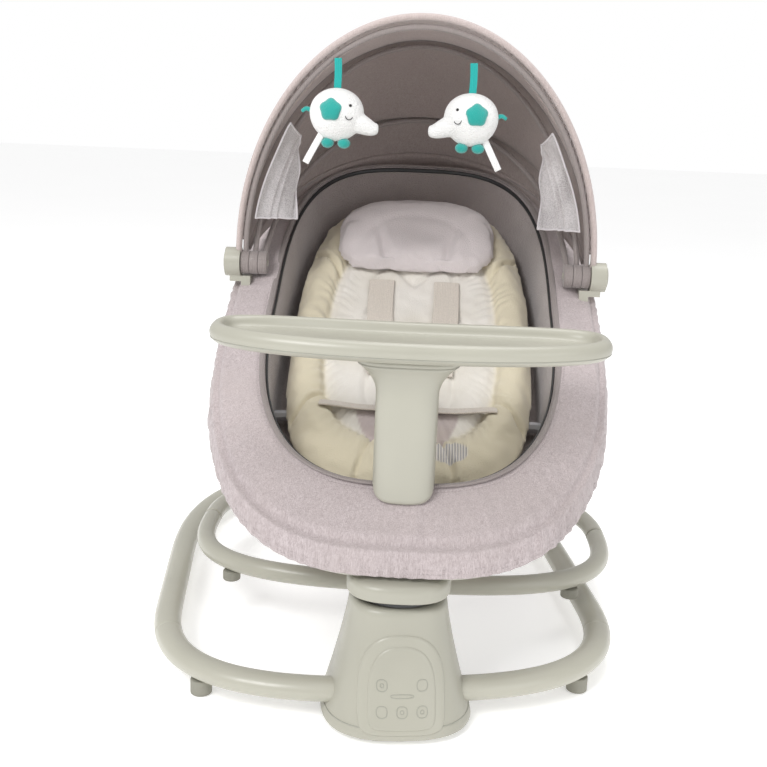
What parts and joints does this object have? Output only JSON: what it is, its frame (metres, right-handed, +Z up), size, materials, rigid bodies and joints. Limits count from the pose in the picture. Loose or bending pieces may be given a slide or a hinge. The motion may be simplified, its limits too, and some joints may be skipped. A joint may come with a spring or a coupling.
{
  "type": "baby swing",
  "caption": "Electric baby swing: oval fabric seat with tray, harness and folding hood, turning on a floor ring with a motor housing.",
  "frame": {"origin": "on the floor, on the axis of the swing shaft", "axes": "+Z up, +Y to the rear of the seat; the child faces -Y; the base is turned 7 degrees about +Z from the seat, as the swing stands in the picture"},
  "size_m": [0.5999, 0.7783, 0.7525],
  "materials": {
    "shell": "satin greige plastic",
    "panel": "smooth greige plastic with a raised arch",
    "tube": "satin greige paint",
    "rubber": "matt",
    "steel": "plain",
    "dark_plastic": "matt",
    "board": "printed circuit board",
    "copper": "enamelled copper winding",
    "melange": "heather knit, lilac grey",
    "liner": "soft quilted knit, cream and grey",
    "pillow": "short plush, pale lilac",
    "net": "sheer net",
    "webbing": "woven webbing",
    "plush": "white plush",
    "teal": "satin ribbon"
  },
  "bodies": {
    "base": {"housing_shell": "shell", "housing_base_plate": "dark_plastic", "control_panel": "panel", "touch_overlay": "panel", "power_inlet": "dark_plastic", "drive_coil": "copper", "circuit_board": "board", "speaker": "dark_plastic", "shaft_bush": "dark_plastic", "ring_front_left": "tube", "ring_front_right": "tube", "ring_rear": "tube", "ring_foot_front_left": "rubber", "ring_foot_front_right": "rubber", "ring_foot_rear_left": "rubber", "ring_foot_rear_right": "rubber"},
    "seat_frame": {"head_cap": "shell", "swing_shaft": "steel", "magnet_arm": "steel", "rim_frame_front": "tube", "rim_frame_rear": "tube", "chassis_beam": "shell", "leg_loop_front": "tube", "leg_loop_rear": "tube", "leg_foot_front_left": "rubber", "leg_foot_front_right": "rubber", "leg_foot_rear_left": "rubber", "leg_foot_rear_right": "rubber", "rear_strut_left": "tube", "rear_strut_right": "tube", "recline_bar": "steel", "seat_cover": "melange", "liner_seat": "liner", "lower_harness": "webbing", "harness_buckle": "dark_plastic", "hood_hinge_left": "shell", "hood_hinge_right": "shell", "rear_bow": "steel", "hood_rear_panel": "melange", "tray_socket": "shell"},
    "backrest": {"backrest_frame": "tube", "backrest_board": "dark_plastic", "liner_back": "liner", "head_pillow": "pillow", "shoulder_strap_left": "webbing", "shoulder_strap_right": "webbing"},
    "hood_middle": {"middle_bow": "steel", "hood_middle_gore": "melange"},
    "hood_front": {"front_bow": "steel", "hood_front_gore": "melange", "net_curtain_left": "net", "net_curtain_right": "net"},
    "toy_left": {"toy_elephant_left": "plush", "toy_ribbon_left": "teal"},
    "toy_right": {"toy_elephant_right": "plush", "toy_ribbon_right": "teal"},
    "tray": {"tray_top": "shell", "tray_post": "shell"},
    "tray_release": {"tray_release_button": "panel"},
    "buckle_release": {"buckle_button": "dark_plastic"}
  },
  "joints": [
    {"name": "swing_turn", "type": "hinge", "parent": "base", "child": "seat_frame", "pos_m": [0, 0, 0.14], "axis": [0, 0, 1], "range_deg": [-5, 19]},
    {"name": "backrest_recline", "type": "hinge", "parent": "seat_frame", "child": "backrest", "pos_m": [0, 0.215, 0.262], "axis": [1, 0, 0], "range_deg": [0, 12]},
    {"name": "hood_middle_fold", "type": "hinge", "parent": "seat_frame", "child": "hood_middle", "pos_m": [0, 0.33, 0.434], "axis": [1, 0, 0], "range_deg": [-12, 0]},
    {"name": "hood_front_fold", "type": "hinge", "parent": "hood_middle", "child": "hood_front", "pos_m": [0, 0.33, 0.434], "axis": [1, 0, 0], "range_deg": [-24, 0]},
    {"name": "toy_left_swing", "type": "hinge", "parent": "hood_front", "child": "toy_left", "pos_m": [-0.103, 0.274, 0.691], "axis": [1, 0, 0], "range_deg": [-35, 30]},
    {"name": "toy_right_swing", "type": "hinge", "parent": "hood_front", "child": "toy_right", "pos_m": [0.06, 0.274, 0.691], "axis": [1, 0, 0], "range_deg": [-35, 30]},
    {"name": "tray_lift", "type": "slide", "parent": "seat_frame", "child": "tray", "axis": [0, 0, 1], "range_m": [0, 0.085]},
    {"name": "tray_release_press", "type": "slide", "parent": "tray", "child": "tray_release", "axis": [0, -1, 0], "range_m": [0, 0.0025], "stiffness_N_per_m": 400},
    {"name": "buckle_release_press", "type": "slide", "parent": "seat_frame", "child": "buckle_release", "axis": [0, 0.4443, -0.8959], "range_m": [0, 0.002], "stiffness_N_per_m": 400}
  ],
  "couplings": [
    {"joint": "hood_front_fold", "follows": "hood_middle_fold", "ratio": 2}
  ]
}
